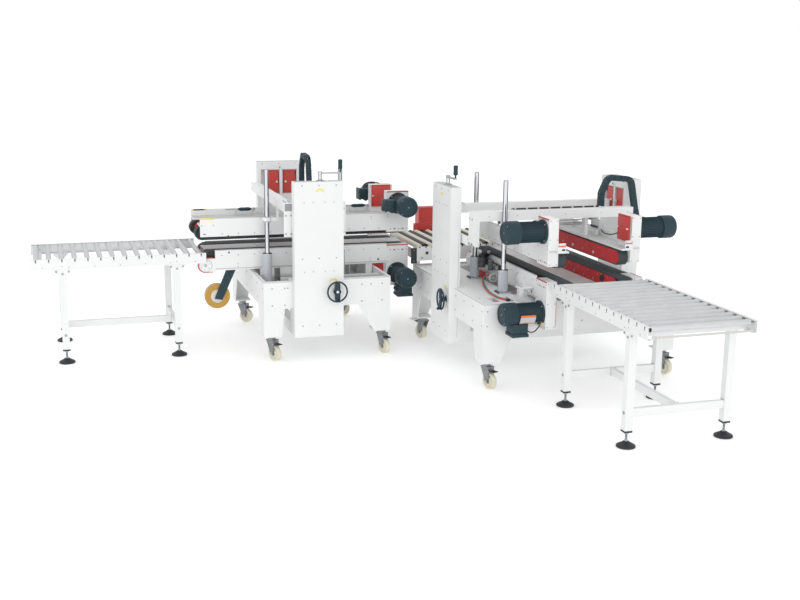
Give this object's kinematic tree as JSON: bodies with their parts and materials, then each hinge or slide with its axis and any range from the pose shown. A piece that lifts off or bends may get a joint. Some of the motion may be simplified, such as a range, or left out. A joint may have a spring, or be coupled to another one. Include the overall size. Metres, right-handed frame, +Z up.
{
  "type": "carton sealing line",
  "caption": "Right-angle carton sealing line: roller infeed, belt sealer, transfer rollers, second belt sealer turned ninety degrees, roller outfeed.",
  "frame": {"origin": "floor level, centre of the line's plan rectangle", "axes": "+X along the first sealer towards the second, +Y to the first sealer's far side, +Z up"},
  "size_m": [4.352, 3.994, 1.484],
  "materials": {
    "white_paint": "satin",
    "zinc": "satin",
    "black_pad": "matte",
    "cream_roller": "satin",
    "red_paint": "satin",
    "dark_paint": "satin",
    "amber_tape": "gloss",
    "chrome_rod": "polished",
    "black_belt": "matte",
    "black_plastic": "satin",
    "stainless": "satin",
    "steel": "satin",
    "motor_paint": "satin",
    "cream_wheel": "satin"
  },
  "bodies": {
    "frame": {"infeed_rails": "white_paint", "infeed_rollers": "zinc", "infeed_legs": "white_paint", "outfeed_rails": "white_paint", "outfeed_rollers": "zinc", "outfeed_legs": "white_paint", "table_feet": "black_pad", "transfer_frame": "white_paint", "transfer_rollers": "cream_roller", "transfer_guard": "red_paint", "m1_reel_arm": "dark_paint", "column_doors": "red_paint", "guide_rods": "chrome_rod", "lower_belts": "black_belt", "lower_red_plates": "red_paint", "slide_plates": "stainless", "m2_tape_head": "dark_paint", "m1_base": "white_paint", "m1_legs": "white_paint", "m1_columns": "white_paint", "m1_lower_housings": "white_paint", "m1_lower_motors": "motor_paint", "m2_base": "white_paint", "m2_legs": "white_paint", "m2_columns": "white_paint", "m2_lower_housings": "white_paint", "m2_lower_motors": "motor_paint"},
    "m1_head": {"m1_head_beams": "white_paint", "m1_upper_housings": "white_paint", "m1_upper_belts": "black_belt", "m1_upper_red_plates": "red_paint", "m1_upper_motors": "motor_paint", "m1_cable_arch": "black_plastic"},
    "m1_handwheel": {"m1_handwheel": "black_plastic"},
    "m1_crank": {"m1_crank": "steel"},
    "m2_head": {"m2_head_beams": "white_paint", "m2_upper_housings": "white_paint", "m2_upper_belts": "black_belt", "m2_upper_red_plates": "red_paint", "m2_upper_motors": "motor_paint", "m2_cable_arch": "black_plastic"},
    "m2_handwheel": {"m2_handwheel": "black_plastic"},
    "m2_crank": {"m2_crank": "steel"},
    "tape_reel": {"m1_tape_reel": "amber_tape"},
    "m1_caster_a_fork": {"m1_caster_a_fork": "steel"},
    "m1_caster_a_wheel": {"m1_caster_a_wheel": "cream_wheel"},
    "m1_caster_b_fork": {"m1_caster_b_fork": "steel"},
    "m1_caster_b_wheel": {"m1_caster_b_wheel": "cream_wheel"},
    "m1_caster_c_fork": {"m1_caster_c_fork": "steel"},
    "m1_caster_c_wheel": {"m1_caster_c_wheel": "cream_wheel"},
    "m1_caster_d_fork": {"m1_caster_d_fork": "steel"},
    "m1_caster_d_wheel": {"m1_caster_d_wheel": "cream_wheel"},
    "m2_caster_a_fork": {"m2_caster_a_fork": "steel"},
    "m2_caster_a_wheel": {"m2_caster_a_wheel": "cream_wheel"},
    "m2_caster_b_fork": {"m2_caster_b_fork": "steel"},
    "m2_caster_b_wheel": {"m2_caster_b_wheel": "cream_wheel"},
    "m2_caster_c_fork": {"m2_caster_c_fork": "steel"},
    "m2_caster_c_wheel": {"m2_caster_c_wheel": "cream_wheel"},
    "m2_caster_d_fork": {"m2_caster_d_fork": "steel"},
    "m2_caster_d_wheel": {"m2_caster_d_wheel": "cream_wheel"}
  },
  "joints": [
    {"name": "m1_head_lift", "type": "slide", "parent": "frame", "child": "m1_head", "axis": [0, 0, 1], "range_m": [-0.04, 0.19]},
    {"name": "m1_handwheel_turn", "type": "hinge", "parent": "frame", "child": "m1_handwheel", "pos_m": [-0.053, 0.448, 0.528], "axis": [0, 1, 0], "continuous": true},
    {"name": "m1_crank_turn", "type": "hinge", "parent": "frame", "child": "m1_crank", "pos_m": [-0.16, 0.533, 1.39], "axis": [0, 0, 1], "continuous": true},
    {"name": "m2_head_lift", "type": "slide", "parent": "frame", "child": "m2_head", "axis": [0, 0, 1], "range_m": [-0.04, 0.19]},
    {"name": "m2_handwheel_turn", "type": "hinge", "parent": "frame", "child": "m2_handwheel", "pos_m": [0.618, 0.094, 0.512], "axis": [1, 0, 0], "continuous": true},
    {"name": "m2_crank_turn", "type": "hinge", "parent": "frame", "child": "m2_crank", "pos_m": [0.703, 0.216, 1.39], "axis": [0, 0, 1], "continuous": true},
    {"name": "tape_reel_turn", "type": "hinge", "parent": "frame", "child": "tape_reel", "pos_m": [-0.842, 1.049, 0.418], "axis": [0, 1, 0], "continuous": true},
    {"name": "m1_caster_a_swivel", "type": "hinge", "parent": "frame", "child": "m1_caster_a_fork", "pos_m": [-0.508, 0.633, 0.168], "axis": [0, 0, 1], "continuous": true},
    {"name": "m1_caster_a_roll", "type": "hinge", "parent": "m1_caster_a_fork", "child": "m1_caster_a_wheel", "pos_m": [-0.491, 0.60356, 0.0575], "axis": [0.866, 0.5, 0], "continuous": true},
    {"name": "m1_caster_b_swivel", "type": "hinge", "parent": "frame", "child": "m1_caster_b_fork", "pos_m": [0.34, 0.633, 0.168], "axis": [0, 0, 1], "continuous": true},
    {"name": "m1_caster_b_roll", "type": "hinge", "parent": "m1_caster_b_fork", "child": "m1_caster_b_wheel", "pos_m": [0.35163, 0.60105, 0.0575], "axis": [0.9397, 0.342, 0], "continuous": true},
    {"name": "m1_caster_c_swivel", "type": "hinge", "parent": "frame", "child": "m1_caster_c_fork", "pos_m": [-0.508, 1.886, 0.168], "axis": [0, 0, 1], "continuous": true},
    {"name": "m1_caster_c_roll", "type": "hinge", "parent": "m1_caster_c_fork", "child": "m1_caster_c_wheel", "pos_m": [-0.48313, 1.86281, 0.0575], "axis": [0.682, 0.7314, 0], "continuous": true},
    {"name": "m1_caster_d_swivel", "type": "hinge", "parent": "frame", "child": "m1_caster_d_fork", "pos_m": [0.34, 1.877, 0.168], "axis": [0, 0, 1], "continuous": true},
    {"name": "m1_caster_d_roll", "type": "hinge", "parent": "m1_caster_d_fork", "child": "m1_caster_d_wheel", "pos_m": [0.37195, 1.88863, 0.0575], "axis": [-0.342, 0.9397, 0], "continuous": true},
    {"name": "m2_caster_a_swivel", "type": "hinge", "parent": "frame", "child": "m2_caster_a_fork", "pos_m": [0.764, -0.456, 0.168], "axis": [0, 0, 1], "continuous": true},
    {"name": "m2_caster_a_roll", "type": "hinge", "parent": "m2_caster_a_fork", "child": "m2_caster_a_wheel", "pos_m": [0.77563, -0.48795, 0.0575], "axis": [0.9397, 0.342, 0], "continuous": true},
    {"name": "m2_caster_b_swivel", "type": "hinge", "parent": "frame", "child": "m2_caster_b_fork", "pos_m": [0.781, 0.928, 0.168], "axis": [0, 0, 1], "continuous": true},
    {"name": "m2_caster_b_roll", "type": "hinge", "parent": "m2_caster_b_fork", "child": "m2_caster_b_wheel", "pos_m": [0.76937, 0.95995, 0.0575], "axis": [-0.9397, -0.342, 0], "continuous": true},
    {"name": "m2_caster_c_swivel", "type": "hinge", "parent": "frame", "child": "m2_caster_c_fork", "pos_m": [2.118, -0.456, 0.168], "axis": [0, 0, 1], "continuous": true},
    {"name": "m2_caster_c_roll", "type": "hinge", "parent": "m2_caster_c_fork", "child": "m2_caster_c_wheel", "pos_m": [2.12963, -0.48795, 0.0575], "axis": [0.9397, 0.342, 0], "continuous": true},
    {"name": "m2_caster_d_swivel", "type": "hinge", "parent": "frame", "child": "m2_caster_d_fork", "pos_m": [2.118, 0.928, 0.168], "axis": [0, 0, 1], "continuous": true},
    {"name": "m2_caster_d_roll", "type": "hinge", "parent": "m2_caster_d_fork", "child": "m2_caster_d_wheel", "pos_m": [2.10637, 0.95995, 0.0575], "axis": [-0.9397, -0.342, 0], "continuous": true}
  ]
}
